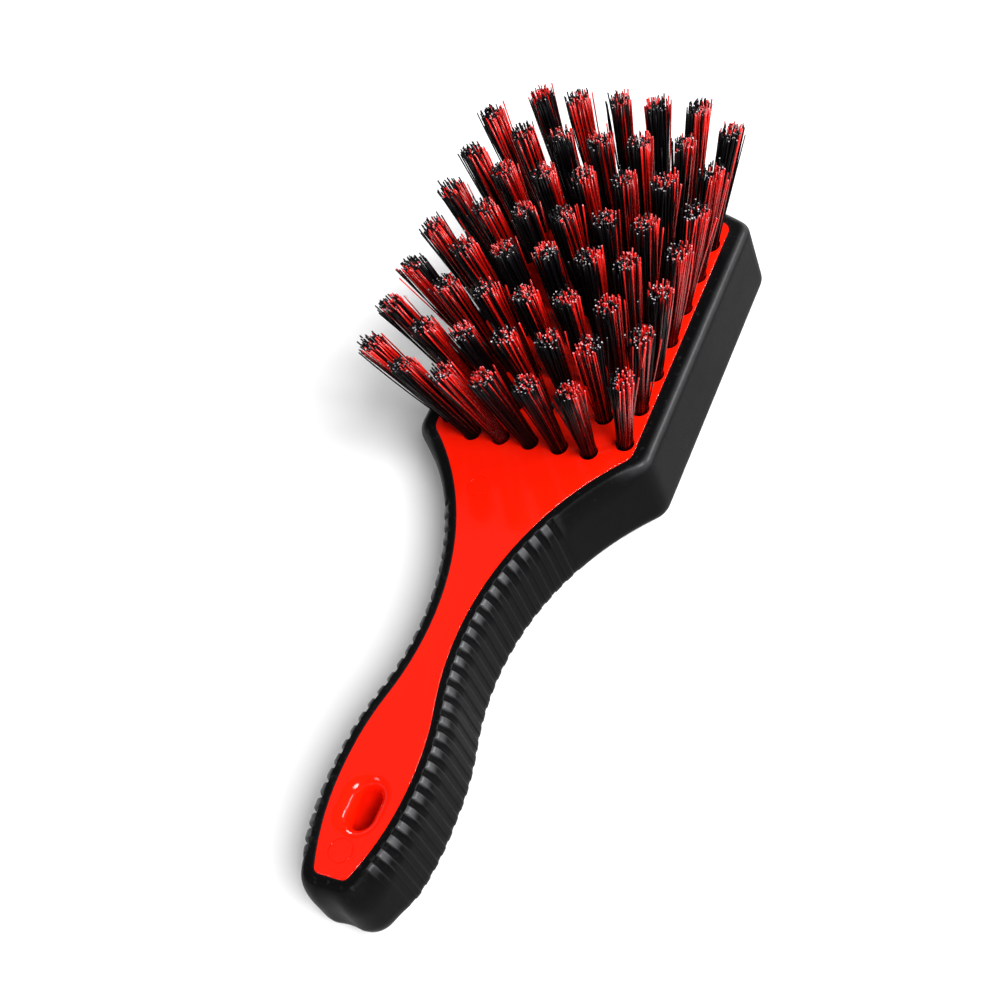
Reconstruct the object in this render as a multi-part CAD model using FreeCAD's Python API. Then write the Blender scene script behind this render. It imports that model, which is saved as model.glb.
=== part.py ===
import FreeCAD, Part
import math
import os

# Wheel brush: a rigid core with a long rounded head and a waisted handle, held in a soft
# overmoulded grip, with tufts of mixed filaments stapled into blind holes in the head.
# Millimetres.  The brush lies on its back: X runs from the butt to the head, Y across and
# Z up through the bristles.  The origin is on the back, under the middle of the whole brush.

# ---- places along the brush, measured from the butt end of the core ----
bulge_x = 32.0
waist_x = 78.0
head_end_x = 243.6
hang_x = 21.5

# ---- outline of the core, as half widths and radii ----
butt_half = 5.0
bulge_half = 10.7
bulge_butt_radius = 82.0
waist_half = 4.6
neck_radius = 92.0
head_half = 33.4
head_end_radius = 78.0
core_butt_corner = 2.4
core_shoulder_corner = 5.0
core_head_corner = 4.0

# ---- outline of the grip: how far it stands out round the core ----
grip_rim = 4.9
head_rim = 5.9
butt_rim = 5.1
end_rim = 4.6
grip_butt_corner = 8.0
grip_shoulder_corner = 7.0
grip_head_corner = 5.0

# ---- thicknesses and rounded rims ----
body_thickness = 29.0
back_thickness = 3.0
grip_top_round = 3.2
grip_back_round = 5.0
core_top_round = 0.3

# ---- ribs round the handle ----
rib_count = 25
rib_pitch = 4.7
rib_gap = 1.3
rib_height = 0.9
first_rib_x = 5.0
rib_start_from_core = 2.3
rib_back_wrap = 7.0

# ---- hanging hole, a slot with rounded ends ----
hang_length = 12.4
hang_width = 7.2
hang_top_lip = 4.2
hang_back_lip = 1.0

# ---- tufts: straight rows, with the two outer columns shifted and one tuft shorter ----
row_count = 8
column_count = 7
outer_column_shift = 5.0
first_row_before_shoulder = 0.36
wall_beside_holes = 0.9
wall_past_last_row = 5.3
row_fan_deg = 3.8
column_fan_deg = 5.2
head_lean_deg = 5.0
trim_height = 40.0
tuft_root_radius = 2.8
tuft_tip_radius = 3.9
tuft_collar = 1.4
hole_depth = 10.0

# ---- anchors: a flat wire staple across the fold of each tuft, biting into the core ----
anchor_bite = 0.8
anchor_height = 2.2
anchor_thickness = 0.5
fold_below_anchor = 0.6

# ---- round moulding marks on the face of the core ----
mark_depth = 0.25
mark_radius = 3.8
mark_ring_width = 0.5
mark_places = ((126.0, 9.6), (7.6, 0.0))

face_z = body_thickness
anchor_width = 2.0 * (tuft_root_radius + anchor_bite)
overshoot = 1.0
up = FreeCAD.Vector(0, 0, 1)


def vec(x, y, z=0.0):
    return FreeCAD.Vector(x, y, z)


def arc(start, end, radius, side):
    """Arc from start to end that bows to the left of its chord (side +1) or right (-1)."""
    chord = end.sub(start)
    half = chord.Length / 2.0
    sagitta = radius - math.sqrt(radius * radius - half * half)
    normal = vec(-chord.y, chord.x).normalize()
    middle = start.add(end).multiply(0.5).add(normal.multiply(side * sagitta))
    return Part.Arc(start, middle, end).toShape()


def neck_run(radius, rise):
    """How far an arc that sets out along X goes before it has risen by rise."""
    return math.sqrt(radius ** 2 - (radius - rise) ** 2)


class Outline:
    """The brush seen from above, symmetrical about the X axis, and its corner points."""

    def __init__(self, rim, butt_gap, head_gap, end_gap, corners):
        bulge_y = bulge_half + rim
        waist_y = waist_half + rim
        neck = neck_radius - rim
        rise = bulge_y - waist_y
        run = waist_x - bulge_x
        bulge_radius = (run * run + rise * rise) / (2.0 * rise) - neck
        share = bulge_radius / (bulge_radius + neck)
        head_y = head_half + head_gap
        end_radius = head_end_radius + end_gap
        end_drop = end_radius - math.sqrt(end_radius ** 2 - head_y ** 2)
        butt = vec(-butt_gap, butt_half + rim)
        bulge = vec(bulge_x, bulge_y)
        turn = vec(bulge_x + run * share, bulge_y - rise * share)
        waist = vec(waist_x, waist_y)
        shoulder = vec(waist_x + neck_run(neck, head_y - waist_y), head_y)
        corner = vec(head_end_x + end_gap - end_drop, head_y)
        butt_sagitta_radius = bulge_butt_radius + rim
        self.side = [
            arc(butt, bulge, butt_sagitta_radius, 1),
            arc(bulge, turn, bulge_radius, 1),
            arc(turn, waist, neck, -1),
            arc(waist, shoulder, neck, -1),
        ]
        head_side = Part.LineSegment(shoulder, corner).toShape()
        half = self.side + [head_side]
        other = [edge.mirror(vec(0, 0), vec(0, 1)) for edge in half]
        end = arc(corner, vec(corner.x, -corner.y), end_radius, 1)
        butt_line = Part.LineSegment(vec(butt.x, -butt.y), butt).toShape()
        loop = Part.sortEdges([butt_line] + half + [end] + other)[0]
        self.face = Part.Face(Part.Wire(loop))
        self.corners = list(zip((butt, shoulder, corner), corners))

    def block(self, bottom, top):
        """The outline pulled up from bottom to top, with its upright corners rounded."""
        solid = self.face.extrude(vec(0, 0, top - bottom))
        solid.translate(vec(0, 0, bottom))
        for point, radius in self.corners:
            solid = solid.makeFillet(radius, upright_edges(solid, point))
        return solid


def upright_edges(solid, point):
    """The solid's upright edges at a point of the outline and at its mirror image."""
    found = []
    for edge in solid.Edges:
        first = edge.Vertexes[0].Point
        last = edge.Vertexes[-1].Point
        level = math.hypot(first.x - last.x, first.y - last.y) < 1e-4
        near = vec(first.x, abs(first.y)).distanceToPoint(point) < 1e-3
        if level and near:
            found.append(edge)
    return found


def edges_at(solid, height):
    """The edges that lie in the level plane at a height."""
    return [edge for edge in solid.Edges
            if abs(edge.BoundBox.ZMin - height) < 1e-4 and abs(edge.BoundBox.ZMax - height) < 1e-4]


def rounded_rims(solid, bottom, bottom_radius, top, top_radius):
    if top_radius > 0:
        solid = solid.makeFillet(top_radius, edges_at(solid, top))
    if bottom_radius > 0:
        solid = solid.makeFillet(bottom_radius, edges_at(solid, bottom))
    return solid


def core_outline():
    return Outline(0.0, 0.0, 0.0, 0.0,
                   (core_butt_corner, core_shoulder_corner, core_head_corner))


def grip_outline(inset):
    """The grip's outline, with the handle drawn in by inset."""
    return Outline(grip_rim - inset, butt_rim - inset, head_rim, end_rim,
                   (grip_butt_corner - inset, grip_shoulder_corner, grip_head_corner))


def hang_slot(bottom, top):
    """The hanging hole's slot, lengthwise along X, from bottom to top."""
    radius = hang_width / 2.0
    reach = (hang_length - hang_width) / 2.0
    corners = [vec(hang_x - reach, radius), vec(hang_x + reach, radius),
               vec(hang_x + reach, -radius), vec(hang_x - reach, -radius)]
    edges = [
        Part.LineSegment(corners[0], corners[1]).toShape(),
        Part.Arc(corners[1], vec(hang_x + reach + radius, 0), corners[2]).toShape(),
        Part.LineSegment(corners[2], corners[3]).toShape(),
        Part.Arc(corners[3], vec(hang_x - reach - radius, 0), corners[0]).toShape(),
    ]
    slot = Part.Face(Part.Wire(edges)).extrude(vec(0, 0, top - bottom))
    slot.translate(vec(0, 0, bottom))
    return slot


def slot_lip(solid, height, radius):
    """Round the edge of the hanging hole at a height."""
    reach = hang_length / 2.0 + 0.1
    half = hang_width / 2.0 + 0.1
    slot = FreeCAD.BoundBox(hang_x - reach, -half, height - 0.1, hang_x + reach, half, height + 0.1)
    rim = [edge for edge in edges_at(solid, height) if slot.isInside(edge.BoundBox)]
    return solid.makeFillet(radius, rim)


def tuft_places():
    """Each tuft's row, column, foot on the face and direction."""
    places = []
    middle_row = (row_count - 1) / 2.0
    middle_column = (column_count - 1) / 2.0
    shoulder_x = waist_x + neck_run(neck_radius, head_half - waist_half)
    first_row_x = shoulder_x - first_row_before_shoulder
    last_row_x = head_end_x - wall_past_last_row - tuft_root_radius
    row_pitch = (last_row_x - first_row_x) / (row_count - 1)
    outer_column_y = head_half - wall_beside_holes - tuft_root_radius
    column_pitch = outer_column_y / middle_column
    for column in range(column_count):
        outer = column in (0, column_count - 1)
        shift = outer_column_shift if outer else 0.0
        for row in range(row_count - 1 if outer else row_count):
            along = row * row_pitch + shift
            foot = vec(first_row_x + along, (middle_column - column) * column_pitch, face_z)
            lean = head_lean_deg + (along / row_pitch - middle_row) * row_fan_deg
            fan = (middle_column - column) * column_fan_deg
            direction = vec(math.tan(math.radians(lean)), math.tan(math.radians(fan)), 1.0)
            places.append((row + 1, column + 1, foot, direction.normalize()))
    return places


def placed(shape, foot, direction):
    """Stand an upright shape, made at the origin, on its foot along its direction."""
    copy = shape.copy()
    copy.Placement = FreeCAD.Placement(foot, FreeCAD.Rotation(up, direction))
    return copy


def turned(profile):
    """The solid of revolution about Z of a closed list of (radius, height) points."""
    points = [vec(radius, 0, height) for radius, height in profile]
    face = Part.Face(Part.makePolygon(points + [points[0]]))
    return face.revolve(vec(0, 0), up, 360)


def rib_gap_slabs(side_wire, inner_reach):
    """Thin upright slabs square to the handle's side, one in each gap between ribs."""
    slabs = []
    gaps = []
    next_gap = None
    travelled = 0.0
    fine = side_wire.discretize(Distance=0.05)
    for previous, point in zip(fine, fine[1:]):
        travelled += point.distanceToPoint(previous)
        if next_gap is None and point.x >= first_rib_x - rib_pitch / 2.0:
            next_gap = travelled
        if next_gap is not None and travelled >= next_gap and len(gaps) <= rib_count:
            gaps.append((point, point.sub(previous).normalize()))
            next_gap += rib_pitch
    for point, along in gaps:
        outward = vec(-along.y, along.x)
        slab = Part.makeBox(rib_gap, inner_reach + overshoot, body_thickness + 2 * overshoot)
        slab.translate(vec(-rib_gap / 2.0, -inner_reach, -overshoot))
        turn = FreeCAD.Rotation(vec(0, 1), outward)
        slab.Placement = FreeCAD.Placement(point, turn).multiply(slab.Placement)
        slabs.append(slab)
        slabs.append(slab.mirror(vec(0, 0), vec(0, 1)))
    print("rib gaps", len(gaps), "on each side from x", round(gaps[0][0].x, 1), "to",
          round(gaps[-1][0].x, 1))
    return slabs


def make_core():
    """The rigid core, with its hanging hole and moulding marks, before the tufts' holes."""
    solid = core_outline().block(back_thickness, face_z)
    solid = rounded_rims(solid, back_thickness, 0.0, face_z, core_top_round)
    solid = solid.cut(hang_slot(0.0, face_z + overshoot))
    solid = slot_lip(solid, face_z, hang_top_lip)
    rings = []
    for x, y in mark_places:
        foot = vec(x, y, face_z - mark_depth)
        outer = Part.makeCylinder(mark_radius, 2 * mark_depth, foot)
        inner = Part.makeCylinder(mark_radius - mark_ring_width, 2 * mark_depth, foot)
        rings.append(outer.cut(inner))
    return solid.cut(rings)


def make_grip():
    """The soft grip: a tray round the core, with ribs where gaps are cut in the handle's rim."""
    outline = grip_outline(0.0)
    solid = outline.block(0.0, body_thickness)
    solid = rounded_rims(solid, 0.0, grip_back_round, body_thickness, grip_top_round)
    below_ribs = grip_outline(rib_height).block(rib_height, body_thickness - rib_height)
    below_ribs = rounded_rims(below_ribs, rib_height, grip_back_round - rib_height,
                              body_thickness - rib_height, grip_top_round - rib_height)
    flat = Outline(rib_start_from_core, butt_rim - rib_height, head_rim, end_rim,
                   (core_butt_corner, grip_shoulder_corner, grip_head_corner))
    smooth_rim = flat.block(grip_back_round, body_thickness + overshoot)
    keep = below_ribs.fuse(smooth_rim)
    gaps = [slab.cut(keep) for slab in rib_gap_slabs(Part.Wire(outline.side), rib_back_wrap)]
    solid = solid.cut(gaps)
    solid = solid.cut(core_outline().block(back_thickness, body_thickness + overshoot))
    solid = solid.cut(hang_slot(-overshoot, body_thickness))
    return slot_lip(solid, 0.0, hang_back_lip)


def make_tuft(foot, direction):
    """One tuft: its root in the hole, a short collar, then a flare cut off level at the trim."""
    reach = trim_height / direction.z
    flare = (tuft_tip_radius - tuft_root_radius) / (reach - tuft_collar)
    long = reach + 2 * tuft_tip_radius
    upright = turned([(0, -hole_depth), (tuft_root_radius, -hole_depth),
                      (tuft_root_radius, tuft_collar),
                      (tuft_root_radius + flare * (long - tuft_collar), long), (0, long)])
    side = 4 * trim_height
    above = Part.makeBox(side, side, side, vec(foot.x - side / 2, foot.y - side / 2,
                                               foot.z + trim_height))
    return placed(upright, foot, direction).cut(above)


def make_anchor_shape():
    """One staple at the bottom of a hole at the origin, its width across the brush."""
    bottom = -hole_depth + fold_below_anchor
    return Part.makeBox(anchor_thickness, anchor_width, anchor_height,
                        vec(-anchor_thickness / 2.0, -anchor_width / 2.0, bottom))


def single(shape):
    """The one solid of a shape."""
    solids = shape.Solids
    assert len(solids) == 1, len(solids)
    return solids[0]


def main():
    hole = Part.makeCylinder(tuft_root_radius, hole_depth + 2 * tuft_collar, vec(0, 0, -hole_depth))
    anchor_shape = make_anchor_shape()
    places = tuft_places()
    holes = [placed(hole, foot, direction) for _, _, foot, direction in places]
    anchors = [placed(anchor_shape, foot, direction) for _, _, foot, direction in places]
    nodes = {
        "handle_core": single(make_core().cut(holes + anchors)),
        "grip_overmold": single(make_grip()),
        "tuft_anchors": Part.makeCompound(anchors),
    }
    for (row, column, foot, direction), anchor in zip(places, anchors):
        name = "tuft_row%d_column%d" % (row, column)
        nodes[name] = single(make_tuft(foot, direction).cut(anchor))
    whole = Part.makeCompound(list(nodes.values())).optimalBoundingBox(False, False)
    shift = vec(-whole.Center.x, -whole.Center.y, -whole.ZMin)
    os.makedirs("parts", exist_ok=True)
    for name, shape in nodes.items():
        shape.translate(shift)
        shape.exportStep("parts/%s.step" % name)
        assert shape.isValid(), name
    size = (whole.XLength, whole.YLength, whole.ZLength)
    print("nodes", len(nodes), "size", [round(v, 2) for v in size])
    print("origin is at x", round(-shift.x, 2), "from the core's butt end")


main()
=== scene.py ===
# %% [markdown]
# # A wheel brush, finished piece by piece
# The real brush is four kinds of thing: a glossy red moulded core, a black rubber grip
# moulded round it, tufts of red and black filaments, and a wire staple that holds each tuft.
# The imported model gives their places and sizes.  This lesson gives each one its finish, and
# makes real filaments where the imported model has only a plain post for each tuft.

# %% The frame
import bmesh
import bpy
import math
import numpy as np
from mathutils import Matrix, Vector
from mathutils.bvhtree import BVHTree


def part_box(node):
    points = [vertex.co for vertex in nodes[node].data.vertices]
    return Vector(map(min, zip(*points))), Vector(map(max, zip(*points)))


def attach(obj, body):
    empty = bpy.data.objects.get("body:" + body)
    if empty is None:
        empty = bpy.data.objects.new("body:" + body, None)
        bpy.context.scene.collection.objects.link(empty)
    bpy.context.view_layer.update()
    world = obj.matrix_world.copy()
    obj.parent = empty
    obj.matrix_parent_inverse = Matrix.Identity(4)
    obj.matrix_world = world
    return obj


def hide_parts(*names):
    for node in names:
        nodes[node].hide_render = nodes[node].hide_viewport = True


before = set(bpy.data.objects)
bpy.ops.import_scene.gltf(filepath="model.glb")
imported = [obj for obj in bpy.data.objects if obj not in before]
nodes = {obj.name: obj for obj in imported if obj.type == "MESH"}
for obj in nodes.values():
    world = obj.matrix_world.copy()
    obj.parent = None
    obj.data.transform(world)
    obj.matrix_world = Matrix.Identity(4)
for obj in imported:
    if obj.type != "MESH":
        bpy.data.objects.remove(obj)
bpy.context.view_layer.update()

MM = 0.001
tuft_names = sorted(name for name in nodes if name.startswith("tuft_row"))
core_low, core_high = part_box("handle_core")
grip_low, grip_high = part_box("grip_overmold")
FACE_Z = core_high[2]
print("tufts:", len(tuft_names), "face at", round(FACE_Z / MM, 1), "mm")

# %% [markdown]
# ## Camera
# A hand brush is shown best lying on its back, seen from over the handle's right side so that
# the ribs, the red face and the tips of the tufts all show.  The camera could be aimed with a
# Track To constraint, but the brush is shown leaning to one side, so the camera is also
# rolled about its own line of sight, and a matrix says all three turns at once.

# %% Camera
CAMERA_AT = Vector((-0.2377, -0.2379, 0.4422))
CAMERA_AIM = Vector((-0.0010, 0.0009, 0.029))
CAMERA_ROLL = math.radians(27.58)
LENS_OVER_FRAME = 1.7986

camera_data = bpy.data.cameras.new("brush_camera")
camera_data.sensor_width = 36.0
camera_data.lens = LENS_OVER_FRAME * camera_data.sensor_width
camera = bpy.data.objects.new("brush_camera", camera_data)
bpy.context.collection.objects.link(camera)
facing = (CAMERA_AIM - CAMERA_AT).to_track_quat("-Z", "Y").to_matrix().to_4x4()
roll = Matrix.Rotation(-CAMERA_ROLL, 4, "Z")
camera.matrix_world = Matrix.Translation(CAMERA_AT) @ facing @ roll
bpy.context.scene.camera = camera
print("camera", round((CAMERA_AIM - CAMERA_AT).length, 3), "m away, lens",
      round(camera_data.lens, 1), "mm")

# %% [markdown]
# ## Floor and light
# The floor is a plain pale sheet.  The light is soft and white: a broad sun from the handle's
# right, which lights the floor evenly right to the horizon, a long strip low on the right that
# lights one bright line along the rounded rim, where the rubber is also painted paler as a
# painted highlight, two small boxes that keep the far sides from going flat, and a dim card
# high up that only the glossy face mirrors. A bright all-round sky
# would be simpler, but it would put a grey veil over the black rubber, so the sky is dim
# except near the horizon.

# %% Floor
def link(name, mesh):
    piece = bpy.data.objects.new(name, mesh)
    bpy.context.collection.objects.link(piece)
    return piece


def mesh_from(name, points, faces):
    mesh = bpy.data.meshes.new(name)
    mesh.from_pydata(points, [], faces)
    mesh.update()
    return mesh


FLOOR_HALF = 6.0
FLOOR_DROP = 0.2 * MM
FLOOR_PALE = 0.86
corners = [(-FLOOR_HALF, -FLOOR_HALF), (FLOOR_HALF, -FLOOR_HALF),
           (FLOOR_HALF, FLOOR_HALF), (-FLOOR_HALF, FLOOR_HALF)]
floor = link("floor", mesh_from("floor", [(x, y, -FLOOR_DROP) for x, y in corners], [(0, 1, 2, 3)]))
paper = bpy.data.materials.new("pale_paper")
paper.use_nodes = True
paper_shader = paper.node_tree.nodes["Principled BSDF"]
paper_shader.inputs["Base Color"].default_value = (FLOOR_PALE, FLOOR_PALE, FLOOR_PALE, 1)
paper_shader.inputs["Roughness"].default_value = 0.9
floor.data.materials.append(paper)


# %% Lamps
def lamp(name, kind, at, aim, power, **settings):
    """A lamp at a point, turned to shine at another."""
    data = bpy.data.lights.new(name, kind)
    data.energy = power
    for key, value in settings.items():
        setattr(data, key, value)
    holder = bpy.data.objects.new(name, data)
    bpy.context.collection.objects.link(holder)
    look = (Vector(aim) - Vector(at)).to_track_quat("-Z", "Y")
    holder.matrix_world = Matrix.Translation(Vector(at)) @ look.to_matrix().to_4x4()
    return holder


BRUSH_MIDDLE = (0.0, 0.0, 0.02)
lamp("key_sun", "SUN", (-0.25, -0.60, 0.75), (0, 0, 0), 4.2, angle=math.radians(24))
lamp("rim_strip", "AREA", (0.43, -0.78, 0.47), (0.06, 0, 0.03), 9.0,
     shape="RECTANGLE", size=0.55, size_y=0.10)
lamp("side_box", "AREA", (-0.55, 0.5, 0.6), BRUSH_MIDDLE, 1.2, shape="RECTANGLE", size=0.2, size_y=0.2)
lamp("back_box", "AREA", (0.85, 0.42, 0.2), BRUSH_MIDDLE, 3.0, shape="RECTANGLE", size=0.3, size_y=0.2)
card = lamp("mirror_card", "AREA", (0.10, 0.62, 1.0), (0.10, 0.62, 0.0), 0.30,
            shape="RECTANGLE", size=0.9, size_y=0.45)
CARD_TURN = math.radians(20.8)
CARD_CORNER = Vector((0.575, 0.50, 1.0))
to_middle = Matrix.Rotation(CARD_TURN, 3, "Z") @ Vector((-card.data.size / 2, card.data.size_y / 2, 0))
card.matrix_world = Matrix.Translation(CARD_CORNER + to_middle) @ Matrix.Rotation(CARD_TURN, 4, "Z")

# %% Sky
SKY_DIM = 0.10
SKY_HORIZON = 0.95
SKY_FADES = (0.02, 0.35)
world = bpy.data.worlds.new("studio")
world.use_nodes = True
sky = world.node_tree
sky_place = sky.nodes.new("ShaderNodeTexCoord")
sky_height = sky.nodes.new("ShaderNodeSeparateXYZ")
sky_ramp = sky.nodes.new("ShaderNodeValToRGB")
for stop, place, grey in zip(sky_ramp.color_ramp.elements, SKY_FADES, (SKY_HORIZON, SKY_DIM)):
    stop.position = place
    stop.color = (grey, grey, grey, 1)
sky.links.new(sky_place.outputs["Generated"], sky_height.inputs[0])
sky.links.new(sky_height.outputs["Z"], sky_ramp.inputs["Fac"])
sky.links.new(sky_ramp.outputs["Color"], sky.nodes["Background"].inputs["Color"])
bpy.context.scene.world = world
bpy.context.scene.view_settings.view_transform = "Standard"

# %% [markdown]
# ## One effect, many materials
# Moulded plastic and rubber share small faults: a fine grain from the mould's steel, edges
# that handling has rubbed paler, and dust that settles on what faces up.  On the black rubber
# the paler edges are also a painted highlight.  Each is a node group with its own dials, built
# once here and placed in every material that needs it.
# Copying the same nodes into each material would work too, but then a change has to be made
# many times.

# %% Node helpers
def group_with(name, dials, results):
    group = bpy.data.node_groups.new(name, "ShaderNodeTree")
    for label, value in dials.items():
        socket = group.interface.new_socket(label, in_out="INPUT", socket_type="NodeSocketFloat")
        socket.default_value = value
    for label in results:
        group.interface.new_socket(label, in_out="OUTPUT", socket_type="NodeSocketFloat")
    return group, group.nodes.new("NodeGroupInput"), group.nodes.new("NodeGroupOutput")


def add(tree, kind, **settings):
    node = tree.nodes.new(kind)
    for key, value in settings.items():
        if key in node.inputs:
            node.inputs[key].default_value = value
        else:
            setattr(node, key, value)
    return node


def maths(tree, operation, first, second=None, clamp=False):
    node = tree.nodes.new("ShaderNodeMath")
    node.operation = operation
    node.use_clamp = clamp
    for socket, value in zip(node.inputs, (first, second)):
        if value is None:
            continue
        if isinstance(value, bpy.types.NodeSocket):
            tree.links.new(value, socket)
        else:
            socket.default_value = value
    return node.outputs[0]


def noise(tree, scale, detail=3.0, stretch=None):
    """Noise over the object's own space; stretch squeezes it along an axis."""
    place = tree.nodes.new("ShaderNodeTexCoord").outputs["Object"]
    if stretch is not None:
        mapping = add(tree, "ShaderNodeMapping", Scale=stretch)
        tree.links.new(place, mapping.inputs["Vector"])
        place = mapping.outputs["Vector"]
    node = add(tree, "ShaderNodeTexNoise", Detail=detail)
    tree.links.new(place, node.inputs["Vector"])
    if isinstance(scale, bpy.types.NodeSocket):
        tree.links.new(scale, node.inputs["Scale"])
    else:
        node.inputs["Scale"].default_value = scale
    return node.outputs["Fac"]


# %% Shared groups
def make_grain_group():
    """Height of a mould's fine grain: small pits over long soft ripples."""
    group, dials, results = group_with("mould_grain", {"Grain": 2600.0, "Ripple": 90.0, "Mix": 0.3},
                                       ["Height"])
    pits = noise(group, dials.outputs["Grain"], 4.0)
    ripple = noise(group, dials.outputs["Ripple"], 1.0)
    pits = maths(group, "MULTIPLY", pits, maths(group, "SUBTRACT", 1.0, dials.outputs["Mix"]))
    both = maths(group, "ADD", pits, maths(group, "MULTIPLY", ripple, dials.outputs["Mix"]))
    group.links.new(both, results.inputs["Height"])
    return group


def make_wear_and_sheen_group():
    """A mask that is 1 on convex edges: where hands and wheels rub, and on the black rubber also where a
    painted highlight goes.
    """
    group, dials, results = group_with("rubbed_edges", {"Reach": 0.52, "Patch": 160.0, "Amount": 0.5},
                                       ["Mask"])
    sharpness, patchiness = 14.0, 1.4
    convex = group.nodes.new("ShaderNodeNewGeometry").outputs["Pointiness"]
    over = maths(group, "SUBTRACT", convex, dials.outputs["Reach"])
    edge = maths(group, "MULTIPLY", over, sharpness, clamp=True)
    patches = maths(group, "MULTIPLY", noise(group, dials.outputs["Patch"]), patchiness)
    worn = maths(group, "MULTIPLY", maths(group, "MULTIPLY", edge, patches), dials.outputs["Amount"],
                 clamp=True)
    group.links.new(worn, results.inputs["Mask"])
    return group


def make_dust_group():
    """A mask of specks that are thicker on faces that look up."""
    group, dials, results = group_with("settled_dust", {"Speck": 900.0, "Amount": 0.4}, ["Mask"])
    up = add(group, "ShaderNodeSeparateXYZ")
    group.links.new(group.nodes.new("ShaderNodeNewGeometry").outputs["Normal"], up.inputs[0])
    facing = maths(group, "MULTIPLY", up.outputs["Z"], 0.7, clamp=True)
    specks = maths(group, "SUBTRACT", noise(group, dials.outputs["Speck"], 6.0), 0.6)
    specks = maths(group, "MULTIPLY", specks, 9.0, clamp=True)
    dust = maths(group, "MULTIPLY", maths(group, "MULTIPLY", specks, facing), dials.outputs["Amount"])
    group.links.new(dust, results.inputs["Mask"])
    return group


GRAIN = make_grain_group()
WEAR_AND_SHEEN = make_wear_and_sheen_group()
DUST = make_dust_group()
print("shared groups:", [g.name for g in bpy.data.node_groups])


# %% Material helpers
def new_material(name, colour, roughness, **shader_settings):
    material = bpy.data.materials.new(name)
    material.use_nodes = True
    shader = material.node_tree.nodes["Principled BSDF"]
    shader.inputs["Base Color"].default_value = (*colour, 1)
    shader.inputs["Roughness"].default_value = roughness
    for label, value in shader_settings.items():
        shader.inputs[label.replace("_", " ")].default_value = value
    return material, material.node_tree, shader


def place_group(tree, group, **dials):
    node = tree.nodes.new("ShaderNodeGroup")
    node.node_tree = group
    for label, value in dials.items():
        node.inputs[label].default_value = value
    return node.outputs[0]


def mixed_colour(tree, mask, first, second):
    """Colour first where the mask is 0 and second where it is 1; each is a colour or a socket."""
    node = tree.nodes.new("ShaderNodeMix")
    node.data_type = "RGBA"
    tree.links.new(mask, node.inputs["Factor"])
    for label, value in (("A", first), ("B", second)):
        socket = [s for s in node.inputs if s.name == label and s.type == "RGBA"][0]
        if isinstance(value, bpy.types.NodeSocket):
            tree.links.new(value, socket)
        else:
            socket.default_value = (*value, 1)
    return [s for s in node.outputs if s.type == "RGBA"][0]


def spread(tree, source, low, high):
    """Stretch a 0 to 1 value to run from low to high."""
    node = add(tree, "ShaderNodeMapRange")
    node.inputs["To Min"].default_value = low
    node.inputs["To Max"].default_value = high
    tree.links.new(source, node.inputs["Value"])
    return node.outputs["Result"]


def bumped(tree, shader, height, depth):
    bump = add(tree, "ShaderNodeBump")
    bump.inputs["Distance"].default_value = depth
    tree.links.new(height, bump.inputs["Height"])
    tree.links.new(bump.outputs["Normal"], shader.inputs["Normal"])


def colour_node(tree, shader, colour):
    tree.links.new(colour, shader.inputs["Base Color"])


# %% [markdown]
# ## The red core
# The core is glossy polypropylene: an even, strong red with a faint haze of hand marks.  A
# clear coat could give the shine, but moulded plastic has no coat, only a smooth skin, so the
# shine is the shader's own low roughness, broken a little by a noise of smears.

# %% Red core
def core_red():
    material, tree, shader = new_material("glossy_red_plastic", (0.84, 0.009, 0.001), 0.1,
                                          Specular_IOR_Level=0.25)
    smears = noise(tree, 60.0, 5.0, (1.0, 2.5, 1.0))
    tree.links.new(spread(tree, smears, 0.05, 0.13), shader.inputs["Roughness"])
    tint = mixed_colour(tree, noise(tree, 22.0, 2.0), (0.88, 0.010, 0.001), (0.80, 0.007, 0.001))
    worn = mixed_colour(tree, place_group(tree, WEAR_AND_SHEEN, Reach=0.56, Amount=0.2), tint, (0.9, 0.1, 0.07))
    colour_node(tree, shader, worn)
    bumped(tree, shader, place_group(tree, GRAIN, Grain=1500.0, Ripple=70.0, Mix=0.8), 0.00006)
    return material


def dress(node_name, material):
    mesh = nodes[node_name].data
    mesh.materials.clear()
    mesh.materials.append(material)


dress("handle_core", core_red())


# %% [markdown]
# ## The black grip
# The grip is a soft rubber, moulded over the core.  It is dark and only half shiny, its mould
# was blasted to a fine grain, and the tops of its ribs are polished by hands and wheels.  The
# rib tops and the head's shoulder are also painted a paler grey as a painted highlight, where
# the lamps would glint.  The whole grip could be made shinier, but then its flat walls would
# mirror the floor, so a thin coat lies only where the polish and the painted highlight are.

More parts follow.
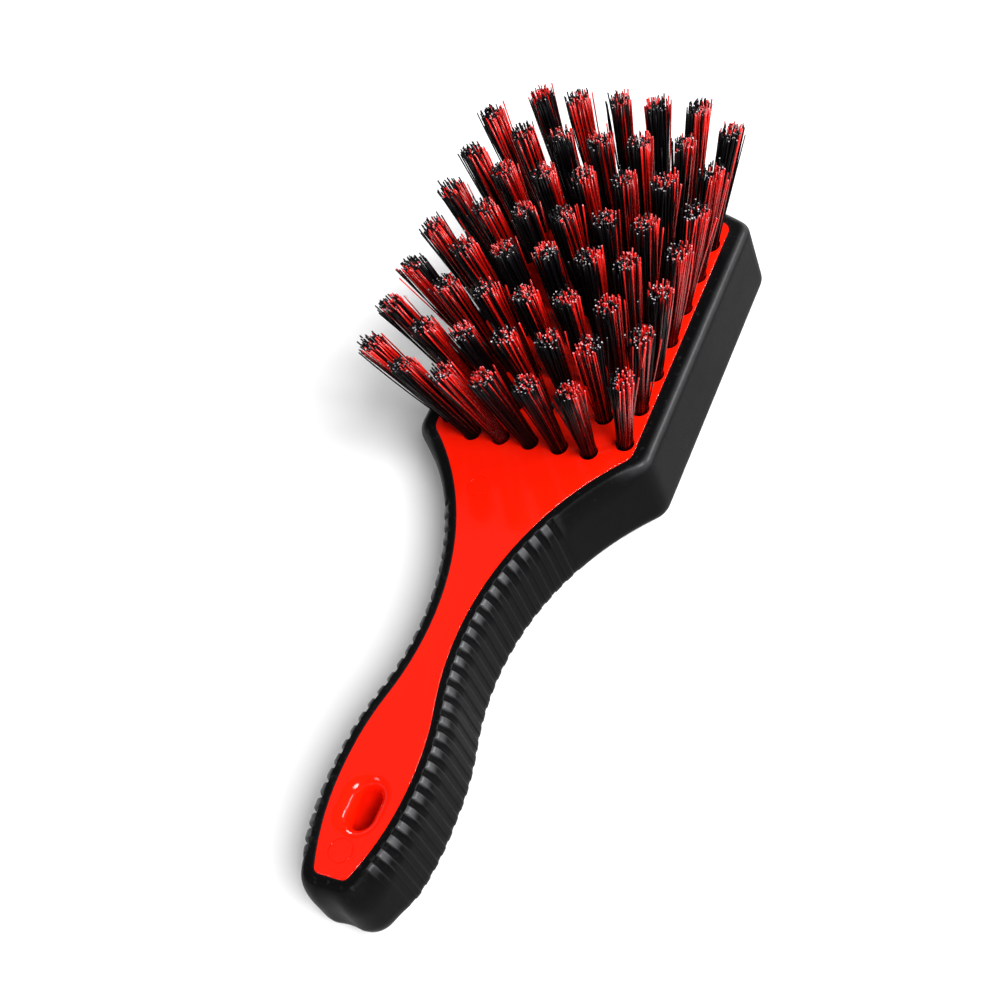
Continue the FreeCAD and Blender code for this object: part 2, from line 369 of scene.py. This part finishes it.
# %% Black rubber
def grip_black():
    material, tree, shader = new_material("black_rubber", (0.003, 0.003, 0.003), 0.38,
                                          Specular_IOR_Level=0.02,
                                          Coat_Roughness=0.3)
    rubbed = place_group(tree, WEAR_AND_SHEEN, Reach=0.51, Patch=240.0, Amount=0.5)
    polish_and_sheen = add(tree, "ShaderNodeAttribute", attribute_name="polish_and_sheen").outputs["Fac"]
    base = mixed_colour(tree, noise(tree, 35.0), (0.0022, 0.0022, 0.0024), (0.004, 0.004, 0.0044))
    # Paler convex edges: partly wear, partly a painted highlight on the rib edges.
    base = mixed_colour(tree, rubbed, base, (0.045, 0.045, 0.047))
    # Painted highlight: rib tops and the head's shoulder are painted paler grey where the lamps would
    # glint, partly polish from handling.
    handled_and_sheen = maths(tree, "MULTIPLY", polish_and_sheen, spread(tree, noise(tree, 300.0), 0.3, 1.0))
    base = mixed_colour(tree, handled_and_sheen, base, (0.10, 0.10, 0.105))
    base = mixed_colour(tree, place_group(tree, DUST, Speck=700.0, Amount=0.12), base,
                        (0.12, 0.12, 0.12))
    colour_node(tree, shader, base)
    shine = maths(tree, "SUBTRACT", spread(tree, noise(tree, 48.0, 4.0), 0.34, 0.46),
                  maths(tree, "MULTIPLY", maths(tree, "ADD", rubbed, polish_and_sheen), 0.10))
    tree.links.new(shine, shader.inputs["Roughness"])
    glossy = maths(tree, "MULTIPLY", maths(tree, "ADD", rubbed, polish_and_sheen), 0.5, clamp=True)
    tree.links.new(glossy, shader.inputs["Coat Weight"])
    bumped(tree, shader, place_group(tree, GRAIN, Grain=2200.0, Ripple=60.0, Mix=0.25), 0.00008)
    return material


BLACK_RUBBER = grip_black()

# %% [markdown]
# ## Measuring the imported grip
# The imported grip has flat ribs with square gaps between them, as a plain working model does.
# Real ribs are soft pads with rounded edges that lean like saw teeth.  A bevel or a remesh of
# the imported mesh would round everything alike, so the grip is lofted anew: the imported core
# gives its path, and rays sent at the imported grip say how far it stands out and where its
# gaps are.

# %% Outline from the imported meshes
def level_loops(name, height):
    """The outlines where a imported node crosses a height, longest first, as xy arrays."""
    cutter = bmesh.new()
    cutter.from_mesh(nodes[name].data)
    bmesh.ops.remove_doubles(cutter, verts=cutter.verts, dist=1e-6)
    everything = cutter.verts[:] + cutter.edges[:] + cutter.faces[:]
    bmesh.ops.bisect_plane(cutter, geom=everything, plane_co=(0, 0, height), plane_no=(0, 0, 1),
                           clear_inner=True, clear_outer=True)
    left = dict.fromkeys(cutter.verts)
    loops = []
    while left:
        chain = [next(iter(left))]
        while chain[-1] is not None:
            left.pop(chain[-1])
            ahead = [edge.other_vert(chain[-1]) for edge in chain[-1].link_edges]
            chain.append(next((vert for vert in ahead if vert in left), None))
        loops.append(np.array([vert.co[:2] for vert in chain[:-1]]))
    cutter.free()
    return sorted((anticlockwise(loop) for loop in loops), key=loop_length, reverse=True)


def loop_length(loop):
    return np.linalg.norm(np.roll(loop, -1, 0) - loop, axis=1).sum()


def anticlockwise(loop):
    after = np.roll(loop, -1, 0)
    area = (loop[:, 0] * after[:, 1] - after[:, 0] * loop[:, 1]).sum()
    return loop if area > 0 else loop[::-1]


def evenly(loop, step):
    """The loop walked at an even step, starting in the middle of the butt."""
    start = np.argmax(-loop[:, 0] * 10 - np.abs(loop[:, 1] - 1e-6))
    loop = np.roll(loop, -start, 0)
    loop = np.vstack([loop, loop[:1]])
    way = np.concatenate([[0], np.cumsum(np.linalg.norm(np.diff(loop, axis=0), axis=1))])
    stops = np.arange(0, way[-1], step)
    return np.stack([np.interp(stops, way, loop[:, axis]) for axis in (0, 1)], 1)


def smoothed(values, reach):
    """A running average round a closed loop, weighted like a bell over reach samples."""
    weights = np.exp(-0.5 * (np.arange(-3 * reach, 3 * reach + 1) / reach) ** 2)
    weights /= weights.sum()
    shifts = range(-3 * reach, 3 * reach + 1)
    return sum(w * np.roll(values, shift, 0) for w, shift in zip(weights, shifts))


STEP = 0.1 * MM
core_loop = evenly(level_loops("handle_core", 10 * MM)[0], STEP)
along_loop = smoothed(np.roll(core_loop, -1, 0) - np.roll(core_loop, 1, 0), 6)
along_loop /= np.linalg.norm(along_loop, axis=1, keepdims=True)
out_of_loop = np.stack([along_loop[:, 1], -along_loop[:, 0]], 1)
print("core outline", round(len(core_loop) * STEP / MM), "mm round")

# %% Stand-out and gaps
MID_WALL = 14.5 * MM
GAP_DEPTH_SEEN = 0.4 * MM
GAP_REACH = 12
RIBS_FROM = core_low[0] + 2 * MM


def grip_stand_out():
    """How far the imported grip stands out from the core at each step, gaps included."""
    packed = bmesh.new()
    packed.from_mesh(nodes["grip_overmold"].data)
    tree = BVHTree.FromBMesh(packed)
    packed.free()
    far = 20 * MM
    found = []
    for point, out in zip(core_loop, out_of_loop):
        start = Vector((*(point + out * far), MID_WALL))
        hit = tree.ray_cast(start, Vector((*-out, 0)))
        found.append(far - hit[3])
    return np.array(found)


raw = grip_stand_out()
widest = np.max([np.roll(raw, shift) for shift in range(-GAP_REACH, GAP_REACH + 1)], 0)
in_gap = (widest - raw > GAP_DEPTH_SEEN) & (core_loop[:, 0] < 0) & (core_loop[:, 0] > RIBS_FROM)
edges_of_gaps = np.flatnonzero(np.diff(in_gap.astype(int)))
gap_centres = edges_of_gaps.reshape(-1, 2).mean(1)
handle = smoothed((core_loop[:, 0] < 2 * MM).astype(float), 30)
stand_out = handle * smoothed(widest, 8) + (1 - handle) * smoothed(raw, 3)
right_gaps = gap_centres[core_loop[gap_centres.astype(int), 1] < 0]
left_gaps = gap_centres[core_loop[gap_centres.astype(int), 1] > 0]
print("gaps on the right and left:", len(right_gaps), len(left_gaps), "stand-out",
      round(stand_out.min() / MM, 2), "to", round(stand_out.max() / MM, 2), "mm")

# %% [markdown]
# ## Ribs as a height map
# Between two gaps a rib rises quickly at its head end, leans outward towards the butt and
# drops again into the next gap.  That is one curve along the handle; a second one, across the
# rim, starts each rib with a small step just outside the red face and fades it under the back.

# %% Rib curves
GROOVE_DEPTH = 0.7 * MM
PAD_RISE = 0.42 * MM
PAD_START = 0.20
PAD_END = 0.82
PAD_EDGE = 0.08
LEAN_AT_START = 0.5
WALL_RELIEF = 0.28
WALL_FADE = (3.5 * MM, 8.0 * MM)
# How the rib tops' polish and painted highlight fade down the wall, and the strength of the painted
# highlight line along the head's shoulder.
POLISH_AND_SHEEN_FADE = (0.4 * MM, 3.6 * MM)
SHOULDER_SHEEN = 0.4
UNDERSIDE = 1.0 * MM


def ease(low, high, values):
    t = np.clip((values - low) / (high - low), 0, 1)
    return t * t * (3 - 2 * t)


def rib_curve(stops, gaps, head_first):
    """Groove (0 to 1) and pad (0 to 1) along the loop for one side's ribs."""
    number = np.searchsorted(gaps, stops) - 1
    inside = (number >= 0) & (number < len(gaps) - 1)
    number = np.clip(number, 0, len(gaps) - 2)
    share = (stops - gaps[number]) / (gaps[number + 1] - gaps[number])
    share = share if head_first else 1 - share
    pad = ease(PAD_START, PAD_START + PAD_EDGE, share) * (1 - ease(PAD_END - PAD_EDGE, PAD_END, share))
    lean = LEAN_AT_START + (1 - LEAN_AT_START) * share
    pitch = np.diff(gaps).mean()
    beside = np.minimum(np.abs(stops - gaps[0]), np.abs(stops - gaps[-1])) / pitch
    end_groove = 1 - ease(PAD_START, PAD_START + PAD_EDGE, beside)
    groove = np.where(inside, 1 - pad, end_groove)
    return groove, np.where(inside, pad * lean, 0)


# %% [markdown]
# ## Lofting the grip
# The section runs from the pocket's floor up its wall, over a small rounded edge beside the
# red face, along the flat rim, round the shoulder, down the wall and under the back.  Every
# stop along the loop repeats the section, closer together where the outline turns sharply and
# across the ribs, and the pocket's floor and the back are filled in round the hanging hole.

# %% Sections
SHOULDER_RADIUS = 3.2 * MM
BACK_RADIUS = 5.0 * MM
POCKET_Z = core_low[2]
SEAM_TUCK = 0.1 * MM
SEAM_ROUND = 0.45 * MM
RIB_STARTS = (2.25 * MM, 2.5 * MM)
FLAT_RIM = 2.1 * MM
HANDLE_DROP = 8.5 * MM
BUTT_DROP = 12.0 * MM
BUTT_BACK = 8.5 * MM
NECK_ENDS = (14 * MM, 23 * MM)
BUTT_ENDS = (core_low[0] + 2 * MM, core_low[0] + 12 * MM)
RIB_ENDS = (5.4 * MM, 6.8 * MM)
SHOULDER_TURNS = np.radians([0, 3, 6, 8, 9.5, 11, 12.5, 14, 17, 22, 30, 38, 46, 54, 62, 70, 78, 84, 90])
SEAM_TURNS = np.radians([0, 22, 45, 68, 90])
BACK_TURNS = np.radians([0, 12, 25, 38, 51, 64, 77, 90])
WALL_STEPS = np.linspace(0, 1, 12)[1:-1]
BACK_STEPS = (0.4, 0.8, 1.2, 1.6, 2.0, 2.4)
HOLE_LIP = 1.0 * MM
LIP_TURNS = np.radians([0, 30, 60, 90])


def section(stand, handle, butt):
    """Rows of (offset from the core, height, outward part and upward part of the normal).

    The head's shoulder is a quarter circle.  The handle's is a quarter ellipse that falls away
    further than it reaches out, and the butt's falls further still."""
    rows = [(-SEAM_TUCK, POCKET_Z, -1, 0), (-SEAM_TUCK, FACE_Z - 2 * SEAM_ROUND, -1, 0)]
    for turn in SEAM_TURNS:
        rows.append((SEAM_ROUND * (1 - math.cos(turn)) - SEAM_TUCK,
                     FACE_Z - SEAM_ROUND * (1 - math.sin(turn)), -math.cos(turn), math.sin(turn)))
    reach = SHOULDER_RADIUS + handle * (stand - FLAT_RIM - SHOULDER_RADIUS)
    drop = SHOULDER_RADIUS + handle * (HANDLE_DROP - SHOULDER_RADIUS) + butt * (BUTT_DROP - HANDLE_DROP)
    back = BACK_RADIUS + butt * (BUTT_BACK - BACK_RADIUS)
    bend = stand - reach
    rows.append(((bend + SEAM_ROUND) / 2, FACE_Z, 0, 1))
    for turn in SHOULDER_TURNS:
        level, rise = drop * math.sin(turn), reach * math.cos(turn)
        size = math.hypot(level, rise)
        rows.append((bend + reach * math.sin(turn), FACE_Z - drop * (1 - math.cos(turn)),
                     level / size, rise / size))
    top = FACE_Z - drop
    rows += [(stand, top + (back - top) * step, 1, 0) for step in WALL_STEPS]
    for turn in BACK_TURNS:
        rows.append((stand - back * (1 - math.cos(turn)), back * (1 - math.sin(turn)),
                     math.cos(turn), -math.sin(turn)))
    rows += [(stand - back - step * MM, 0, 0, -1) for step in BACK_STEPS]
    return rows


def rib_stops():
    """Where along the loop the sections stand, as places in core_loop."""
    turning = np.abs(np.unwrap(np.arctan2(along_loop[:, 1], along_loop[:, 0])))
    turned = np.abs(np.gradient(turning))
    ribbed = np.zeros(len(core_loop), bool)
    for gaps in (right_gaps, left_gaps):
        ribbed[int(gaps[0]) - 15:int(gaps[-1]) + 15] = True
    need = np.maximum(turned / math.radians(4.0), STEP / (2.0 * MM))
    need[ribbed] = STEP / (0.27 * MM)
    way = np.cumsum(need)
    return np.interp(np.arange(0, way[-1], 1.0), way, np.arange(len(core_loop)))


def at(values, stops):
    """Values of a loop between its samples."""
    low = np.floor(stops).astype(int) % len(values)
    share = (stops - np.floor(stops)).reshape(-1, *[1] * (values.ndim - 1))
    return values[low] * (1 - share) + values[(low + 1) % len(values)] * share


# %% Grip mesh
def grip_points(stops):
    core, out, stand = at(core_loop, stops), at(out_of_loop, stops), at(stand_out, stops)
    groove = np.zeros(len(stops))
    pad = np.zeros(len(stops))
    for gaps, head_first in ((right_gaps, False), (left_gaps, True)):
        side_groove, side_pad = rib_curve(stops, gaps, head_first)
        groove += side_groove
        pad += side_pad
    handle = 1 - ease(*NECK_ENDS, core[:, 0])
    butt = 1 - ease(*BUTT_ENDS, core[:, 0])
    rows = np.array([section(*sizes) for sizes in zip(stand, handle, butt)])
    offset, height, level, rise = (rows[..., k] for k in range(4))
    wall_side = height > UNDERSIDE
    under = stand[:, None] - offset
    across = np.where(wall_side, ease(*RIB_STARTS, offset), 1 - ease(*RIB_ENDS, under))
    across = across * (1 - butt[:, None])
    polish_and_sheen = pad[:, None] * across * (1 - ease(*POLISH_AND_SHEEN_FADE, FACE_Z - height))
    # The head's shoulder gets a painted highlight line, with a little coat.
    polish_and_sheen += SHOULDER_SHEEN * (1 - handle[:, None]) * np.clip(2 * level * rise, 0, 1) ** 3
    across = across * (1 - (1 - WALL_RELIEF) * handle[:, None]
                       * ease(*WALL_FADE, FACE_Z - height))
    lift = -GROOVE_DEPTH * groove[:, None] * across
    lift += PAD_RISE * pad[:, None] * across * np.clip(1 + rise, 0, 1)
    xy = core[:, None, :] + out[:, None, :] * (offset + level * lift)[..., None]
    return np.concatenate([xy, (height + rise * lift)[..., None]], 2), polish_and_sheen


def hole_rings():
    """The hanging hole through the grip: two level rings, then a lip rounded out to the back."""
    ring = level_loops("grip_overmold", 2.0 * MM)[-1]
    ahead = np.roll(ring, -1, 0) - np.roll(ring, 1, 0)
    out = np.stack([ahead[:, 1], -ahead[:, 0]], 1) / np.linalg.norm(ahead, axis=1, keepdims=True)
    rings = [np.column_stack([ring, np.full(len(ring), POCKET_Z)])]
    for turn in LIP_TURNS:
        xy = ring + out * HOLE_LIP * (1 - math.cos(turn))
        level = HOLE_LIP * (1 - math.sin(turn))
        rings.append(np.column_stack([xy, np.full(len(ring), level)]))
    return rings


def add_rings(shape, rings, turned_in):
    """Join closed rings of points with quads; the rings' verts come back."""
    made = [[shape.verts.new(point) for point in ring] for ring in rings]
    for first, second in zip(made, made[1:]):
        for a, b, c, d in zip(first, first[1:] + first[:1], second[1:] + second[:1], second):
            face = shape.faces.new((a, d, c, b) if turned_in else (a, b, c, d))
            face.smooth = True
    return made


def fill_between(shape, first, second, facing):
    """Fill the flat ground between two closed rings of verts."""
    edges = [shape.edges.get(pair) for ring in (first, second)
             for pair in zip(ring, ring[1:] + ring[:1])]
    made = bmesh.ops.triangle_fill(shape, use_beauty=True, edges=edges, normal=(0, 0, facing))
    faces = [item for item in made["geom"] if isinstance(item, bmesh.types.BMFace)]
    for face in faces:
        if face.normal.z * facing < 0:
            face.normal_flip()
    return faces


def grip_mesh():
    stops = rib_stops()
    points, polish_and_sheen = grip_points(stops)
    shape = bmesh.new()
    body = add_rings(shape, points.transpose(1, 0, 2), True)
    hole = add_rings(shape, hole_rings(), False)
    shape.normal_update()
    flats = fill_between(shape, body[0], hole[0], 1) + fill_between(shape, body[-1], hole[-1], -1)
    mesh = bpy.data.meshes.new("grip_rubber")
    shape.to_mesh(mesh)
    shape.free()
    # Strength of the polish and painted highlight at each point.
    polish_and_sheen_values = np.zeros(len(mesh.vertices), np.float32)
    polish_and_sheen_values[:polish_and_sheen.size] = polish_and_sheen.T.ravel()
    mesh.attributes.new("polish_and_sheen", "FLOAT", "POINT").data.foreach_set("value", polish_and_sheen_values)
    print("grip:", len(stops), "sections of", points.shape[1], "points,", len(mesh.polygons),
          "faces,", len(flats), "of them flat fill")
    return mesh


grip = link("grip_rubber", grip_mesh())
grip.data.materials.append(BLACK_RUBBER)
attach(grip, "root")
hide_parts("grip_overmold")


# %% [markdown]
# ## Staples
# Each tuft is folded over a flat steel wire that is driven into its hole.  The wires are
# buried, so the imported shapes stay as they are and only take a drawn-steel finish.

# %% Staple steel
def staple_steel():
    material, tree, shader = new_material("drawn_steel", (0.5, 0.5, 0.52), 0.3, Metallic=1.0)
    drawn = noise(tree, 900.0, 2.0, (1.0, 0.05, 1.0))
    tree.links.new(spread(tree, drawn, 0.22, 0.42), shader.inputs["Roughness"])
    colour_node(tree, shader, mixed_colour(tree, drawn, (0.42, 0.42, 0.44), (0.58, 0.57, 0.55)))
    return material


dress("tuft_anchors", staple_steel())


# %% [markdown]
# ## Filaments
# The bristles are cut plastic filament: red and black, each strand a little lighter or darker
# than the next, and shiny along its side.  The cut end is painted pale, partly where the knife
# has crushed it and partly as a painted highlight of light glinting off the cut faces, and each
# strand is painted darker towards its root as painted shade deep in the tuft.
# Hair particles could grow them, but a mesh of real strands can be sawn level, counted and
# exported, so each strand is a thin six-sided rod.

# %% Filament finishes
# ROOT_SHADE sets how far the painted root shade reaches; PALE_ENDS spreads the pale cut ends, which are
# partly a painted highlight.
ROOT_SHADE = 1.3
PALE_ENDS = (-1.1, 1.0)


def filament(name, dark, light, cut_end, root, roughness, gloss):
    """One colour of filament.  Strands run from dark to light by their tone, darken towards
    the root as painted shade deep in the tuft, and about half of them are pale where they are
    cut, partly crushed plastic and partly a painted highlight on the cut faces."""
    material, tree, shader = new_material(name, light, roughness, Specular_IOR_Level=gloss)
    tone = add(tree, "ShaderNodeAttribute", attribute_name="tone").outputs["Fac"]
    along = add(tree, "ShaderNodeAttribute", attribute_name="along").outputs["Fac"]
    cut = add(tree, "ShaderNodeAttribute", attribute_name="cut").outputs["Fac"]
    strand = mixed_colour(tree, tone, dark, light)
    # Painted shade: strands go darker towards the root, where the tuft shades itself.
    depth = maths(tree, "MULTIPLY", maths(tree, "SUBTRACT", 1.0, along), ROOT_SHADE)
    strand = mixed_colour(tree, depth, strand, root)
    # Pale cut ends: partly crushed plastic, partly a painted highlight.
    ends = maths(tree, "MULTIPLY", cut, spread(tree, tone, *PALE_ENDS))
    colour_node(tree, shader, mixed_colour(tree, ends, strand, cut_end))
    scuffs = spread(tree, noise(tree, 700.0, 2.0), roughness - 0.06, roughness + 0.1)
    tree.links.new(maths(tree, "ADD", scuffs, maths(tree, "MULTIPLY", cut, 0.1)),
                   shader.inputs["Roughness"])
    bumped(tree, shader, place_group(tree, GRAIN, Grain=4000.0, Ripple=500.0, Mix=0.4), 0.00002)
    return material


# Each finish: dark and light strand colour, the pale cut end (partly a painted highlight), the painted
# root shade colour, roughness and gloss.
FILAMENT_FINISHES = [
    filament("red_filament", (0.20, 0.0006, 0.0006), (0.78, 0.010, 0.005), (0.85, 0.22, 0.26),
             (0.05, 0.0, 0.0), 0.24, 0.4),
    filament("black_filament", (0.0015, 0.0015, 0.002), (0.005, 0.004, 0.005), (0.55, 0.5, 0.52),
             (0.001, 0.001, 0.001), 0.3, 0.06),
]

# %% [markdown]
# ## Where a tuft stands
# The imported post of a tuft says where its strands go: the middle of its buried end, the
# middle of its sawn-off top, and how wide that top is.

# %% Tuft axes
BURIED = 5.0 * MM


def tuft_axis(name):
    """Foot on the face, middle of the level top, and radius of the top."""
    co = np.array([v.co for v in nodes[name].data.vertices])
    top_z = co[:, 2].max()
    top = co[np.abs(co[:, 2] - top_z) < 0.01 * MM]
    low = co[co[:, 2] < FACE_Z - BURIED]
    head, root = (top.min(0) + top.max(0)) / 2, (low.min(0) + low.max(0)) / 2
    foot = root + (head - root) * (FACE_Z - root[2]) / (head[2] - root[2])
    return foot, head, np.ptp(top[:, 1]) / 2


axes = {name: tuft_axis(name) for name in tuft_names}
print("top radius", round(min(a[2] for a in axes.values()) / MM, 2), "to",
      round(max(a[2] for a in axes.values()) / MM, 2), "mm")

# %% [markdown]
# ## Making the strands
# The strands of a tuft are packed in its hole like a sunflower's seeds and keep their order
# as they fan out.  Each one bows and wanders a little, and a few escape.  All the rods of a
# tuft are worked out at once as arrays, because a Python loop over half a million points
# would be slow.

# %% Strands
STRANDS = 88
STRAND_RADIUS = 0.235 * MM
SIDES = 6
LEVELS = np.array([0.0, 0.13, 0.28, 0.46, 0.64, 0.83, 1.0])
ROOT_RADIUS = 2.42 * MM
SUNK = 4.0 * MM
COLLAR = 1.4 * MM
STRAY_SHARE = 0.05
STRAY_REACH = (0.8, 3.0)
SHORT_SHARE = 0.04
SHORT_BY = 2.0 * MM
GOLDEN_TURN = math.pi * (3.0 - math.sqrt(5.0))


def strand_paths(rng, foot, head, top_radius):
    """Points along every strand: strands by levels by xyz."""
    order = (np.arange(STRANDS) + 0.5) / STRANDS
    angle = np.arange(STRANDS) * GOLDEN_TURN + rng.uniform(0, 2 * math.pi)
    reach = np.sqrt(order)
    ring = np.stack([np.cos(angle), np.sin(angle)], 1)
    start = ring * (reach * ROOT_RADIUS)[:, None]
    splay = top_radius * reach * rng.normal(0.98, 0.1, STRANDS)
    stray = rng.random(STRANDS) < STRAY_SHARE
    splay[stray] += rng.uniform(*STRAY_REACH, stray.sum()) * MM
    end = ring * splay[:, None] + rng.normal(0, 0.34 * MM, (STRANDS, 2))
    wander = rng.normal(0, 0.3 * MM, 2)
    trim = head[2] - rng.uniform(0, 0.7 * MM, STRANDS) - rng.uniform(0, 0.4) * MM
    trim[rng.random(STRANDS) < SHORT_SHARE] -= SHORT_BY
    low = FACE_Z - SUNK
    z = low + LEVELS[None, :] * (trim[:, None] - low)
    fan = np.clip((z - FACE_Z - COLLAR) / (head[2] - FACE_Z - COLLAR), 0, 1) ** 1.05
    lean = (head[:2] - foot[:2]) / (head[2] - foot[2])
    middle = foot[:2] + lean * (z[..., None] - FACE_Z) + wander * fan[..., None]
    bow = rng.normal(0, 0.32 * MM, (STRANDS, 1, 2)) * np.sin(fan * math.pi)[..., None]
    across = start[:, None, :] * (1 - fan[..., None]) + end[:, None, :] * fan[..., None]
    return np.concatenate([middle + across + bow, z[..., None]], 2)


def strand_points(rng, paths):
    """Six-sided rods round the paths, their ends sawn at small random slants."""
    run = np.gradient(paths, axis=1)
    run /= np.linalg.norm(run, axis=2, keepdims=True)
    side = np.cross(run, np.array([0.0, 1.0, 0.0]))
    side /= np.linalg.norm(side, axis=2, keepdims=True)
    other = np.cross(run, side)
    turn = 2 * math.pi * np.arange(SIDES) / SIDES
    radius = STRAND_RADIUS * rng.uniform(0.88, 1.12, STRANDS)
    spin = rng.uniform(0, math.pi, STRANDS)
    a = np.cos(turn[None, :] + spin[:, None])[:, None, :, None]
    b = np.sin(turn[None, :] + spin[:, None])[:, None, :, None]
    skin = paths[:, :, None, :] + radius[:, None, None, None] * (
        side[:, :, None, :] * a + other[:, :, None, :] * b)
    slant = rng.normal(0, 0.35, (STRANDS, 2))
    rise = a[:, 0] * slant[:, 0, None, None] + b[:, 0] * slant[:, 1, None, None]
    skin[:, -1] += run[:, -1, None, :] * radius[:, None, None] * rise
    return skin


def strand_faces():
    """Faces of all the rods: four-sided along each rod, and a six-sided cap at each end."""
    levels = len(LEVELS)
    first = np.arange(STRANDS)[:, None, None] * levels * SIDES
    level = np.arange(levels - 1)[None, :, None] * SIDES
    a = np.arange(SIDES)[None, None, :]
    b = (a + 1) % SIDES
    quads = np.stack([first + level + a, first + level + b, first + level + SIDES + b,
                      first + level + SIDES + a], 3).reshape(-1, 4)
    last = first[:, 0] + (levels - 1) * SIDES
    tops = last + np.arange(SIDES)[None, :]
    return quads, tops, first[:, 0] + np.arange(SIDES)[None, ::-1]


# %% [markdown]
# ## A tuft as one mesh
# Each strand also carries its own tone, how far along it a point is, and whether the point is
# on the cut end, so that one finish can tell the strands apart.  The strands' flat layout, in
# upright strips side by side, is what the finish is painted onto when the brush is exported.

# %% Tuft meshes
RED_SHARE = 0.36
# Painted light: red strands crowd the side of each tuft that faces the low strip lamp and black ones the
# far side, so the lit side reads red and the shaded side black.
RED_TOWARD_LIGHT_DEG = -50.0
RED_TOWARD_LIGHT_LEAN = 0.55
STRIP_FILL = 0.9
STRIP_FOOT = 0.02
TOP_ROW = 0.955
FOOT_ROW = 0.985
CAP_HALF = 0.015
FIRST_SEED = 400


def strip_layout():
    """Corner places in the flat layout: one upright strip for each strand."""
    strand = np.arange(STRANDS)[:, None, None]
    side = np.arange(SIDES)[None, None, :]
    left = (strand + STRIP_FILL * side / SIDES + (1 - STRIP_FILL) / 2) / STRANDS
    right = left + STRIP_FILL / SIDES / STRANDS
    low = STRIP_FOOT + STRIP_FILL * LEVELS[:-1][None, :, None]
    high = STRIP_FOOT + STRIP_FILL * LEVELS[1:][None, :, None]
    left, right, low, high = np.broadcast_arrays(left, right, low, high)
    quads = np.stack([np.stack(c, -1) for c in ((left, low), (right, low), (right, high),
                                                (left, high))], 3).reshape(-1, 2)
    turn = 2 * math.pi * np.arange(SIDES) / SIDES
    disc = np.stack([np.cos(turn), np.sin(turn)], 1) * np.array([0.4 / STRANDS, CAP_HALF])
    middle = (np.arange(STRANDS) + 0.5) / STRANDS
    tops = np.stack([middle, np.full(STRANDS, TOP_ROW)], 1)[:, None, :] + disc
    ends = np.stack([middle, np.full(STRANDS, FOOT_ROW)], 1)[:, None, :] + disc * 0.5
    return np.concatenate([quads, tops.reshape(-1, 2), ends.reshape(-1, 2)])


def tuft_mesh(name, seed):
    rng = np.random.default_rng(seed)
    paths = strand_paths(rng, *axes[name])
    skin = strand_points(rng, paths)
    quads, tops, ends = strand_faces()
    mesh = bpy.data.meshes.new(name + "_strands")
    corners = np.concatenate([quads.ravel(), tops.ravel(), ends.ravel()])
    sizes = np.concatenate([np.full(len(quads), 4), np.full(2 * STRANDS, SIDES)])
    mesh.vertices.add(skin.size // 3)
    mesh.vertices.foreach_set("co", skin.astype(np.float32).ravel())
    mesh.loops.add(len(corners))
    mesh.loops.foreach_set("vertex_index", corners.astype(np.int32))
    mesh.polygons.add(len(sizes))
    mesh.polygons.foreach_set("loop_start", (np.cumsum(sizes) - sizes).astype(np.int32))
    layout = mesh.uv_layers.new(name="OFBake")
    # Painted light: strands on the side towards the strip lamp are more often red, those on the far side
    # more often black.
    side = math.radians(rng.normal(RED_TOWARD_LIGHT_DEG, 45.0))
    place = paths[:, -1, :2] - paths[:, -1, :2].mean(0)
    lean = (place @ np.array([math.cos(side), math.sin(side)])) / axes[name][2]
    red = rng.random(STRANDS) < RED_SHARE + rng.normal(0, 0.05) + RED_TOWARD_LIGHT_LEAN * lean
    for finish in FILAMENT_FINISHES:
        mesh.materials.append(finish)
    per_strand = len(quads) // STRANDS
    finish_of = np.concatenate([np.repeat(~red, per_strand), ~red, ~red])
    mesh.polygons.foreach_set("material_index", finish_of.astype(np.int32))
    flat = np.concatenate([np.zeros(len(quads), bool), np.ones(2 * STRANDS, bool)])
    mesh.polygons.foreach_set("use_smooth", ~flat)
    layout.uv.foreach_set("vector", strip_layout().astype(np.float32).ravel())
    levels = len(LEVELS)
    point_values = {
        "tone": np.repeat(rng.random(STRANDS), levels * SIDES),
        "along": np.tile(np.repeat(LEVELS, SIDES), STRANDS),
    }
    for label, values in point_values.items():
        mesh.attributes.new(label, "FLOAT", "POINT").data.foreach_set("value", values.astype(np.float32))
    cut = np.concatenate([np.zeros(len(quads)), np.ones(STRANDS), np.zeros(STRANDS)])
    mesh.attributes.new("cut", "FLOAT", "FACE").data.foreach_set("value", cut.astype(np.float32))
    mesh.update()
    mesh.validate()
    return mesh


strand_faces_made = 0
for number, name in enumerate(tuft_names):
    tuft = link(name + "_bristles", tuft_mesh(name, FIRST_SEED + number))
    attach(tuft, "root")
    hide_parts(name)
    strand_faces_made += len(tuft.data.polygons)
print("tufts of strands:", len(tuft_names), "faces:", strand_faces_made)
